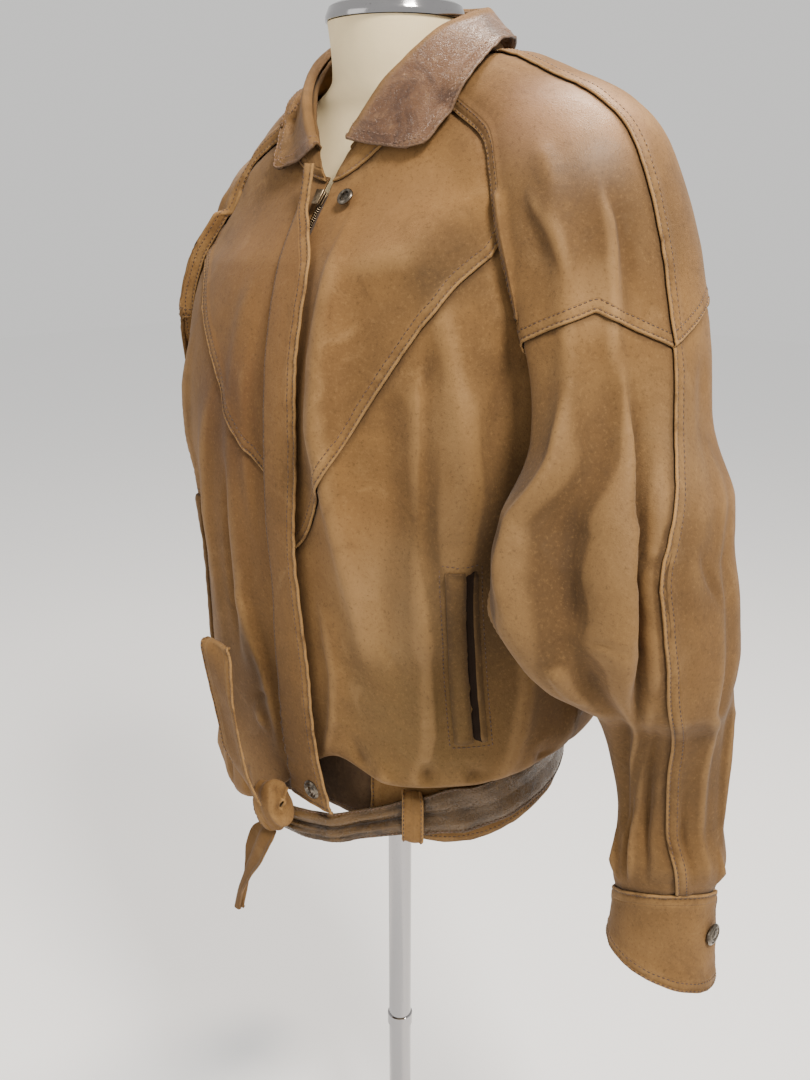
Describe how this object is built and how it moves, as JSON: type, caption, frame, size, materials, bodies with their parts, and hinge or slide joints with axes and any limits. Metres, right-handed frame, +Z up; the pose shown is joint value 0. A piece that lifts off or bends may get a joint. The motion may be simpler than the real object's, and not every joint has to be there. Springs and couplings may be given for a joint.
{
  "type": "leather jacket on a dress form",
  "caption": "Worn tan nubuck blouson jacket with a belted waist and dark collar, set on a dress form with a round base.",
  "frame": {"origin": "centre of the stand's round base, on the floor", "axes": "+Z up; the garment's front faces -Y; the wearer's left is +X; metres"},
  "size_m": [0.6144, 0.3397, 1.1867],
  "materials": {
    "tan_leather": "worn nubuck, matt with rubbed patches",
    "wine_leather": "smooth, dark and shiny where it is rubbed",
    "pewter": "dull pewter",
    "zip_metal": "dark antique brass",
    "form_cloth": "cream jersey",
    "chrome": "polished",
    "stand_iron": "satin black"
  },
  "bodies": {
    "jacket": {"back": "tan_leather", "belt": "wine_leather", "belt_end_down": "tan_leather", "belt_end_up": "tan_leather", "belt_knot": "tan_leather", "belt_loop_back_left": "tan_leather", "belt_loop_back_right": "tan_leather", "belt_loop_front_left": "tan_leather", "belt_loop_front_right": "tan_leather", "collar": "wine_leather", "collar_stand": "tan_leather", "cuff_left": "tan_leather", "cuff_left_snap": "pewter", "cuff_right": "tan_leather", "cuff_right_snap": "pewter", "form_torso": "form_cloth", "front_left_lower": "tan_leather", "front_left_upper": "tan_leather", "front_right_lower": "tan_leather", "front_right_upper": "tan_leather", "neck_cap": "chrome", "neck_snap_socket": "pewter", "placket": "tan_leather", "placket_snap": "pewter", "pocket_left_facing": "tan_leather", "pocket_left_welt": "tan_leather", "pocket_right_facing": "tan_leather", "pocket_right_welt": "tan_leather", "sleeve_left_back": "tan_leather", "sleeve_left_front": "tan_leather", "sleeve_left_yoke_back": "tan_leather", "sleeve_left_yoke_front": "tan_leather", "sleeve_right_back": "tan_leather", "sleeve_right_front": "tan_leather", "sleeve_right_yoke_back": "tan_leather", "sleeve_right_yoke_front": "tan_leather", "stand_base": "stand_iron", "stand_pole": "chrome", "waistband": "tan_leather", "waistband_front_left": "tan_leather", "waistband_front_right": "tan_leather", "zip_chain": "zip_metal", "zip_slider": "zip_metal", "zip_stop": "zip_metal"},
    "zip_pull": {"zip_pull": "zip_metal"}
  },
  "joints": [
    {"name": "zip pull", "type": "hinge", "parent": "jacket", "child": "zip_pull", "pos_m": [0.0012, -0.08667, 1.05001], "axis": [-1, 0, 0], "range_deg": [0, 150]}
  ]
}
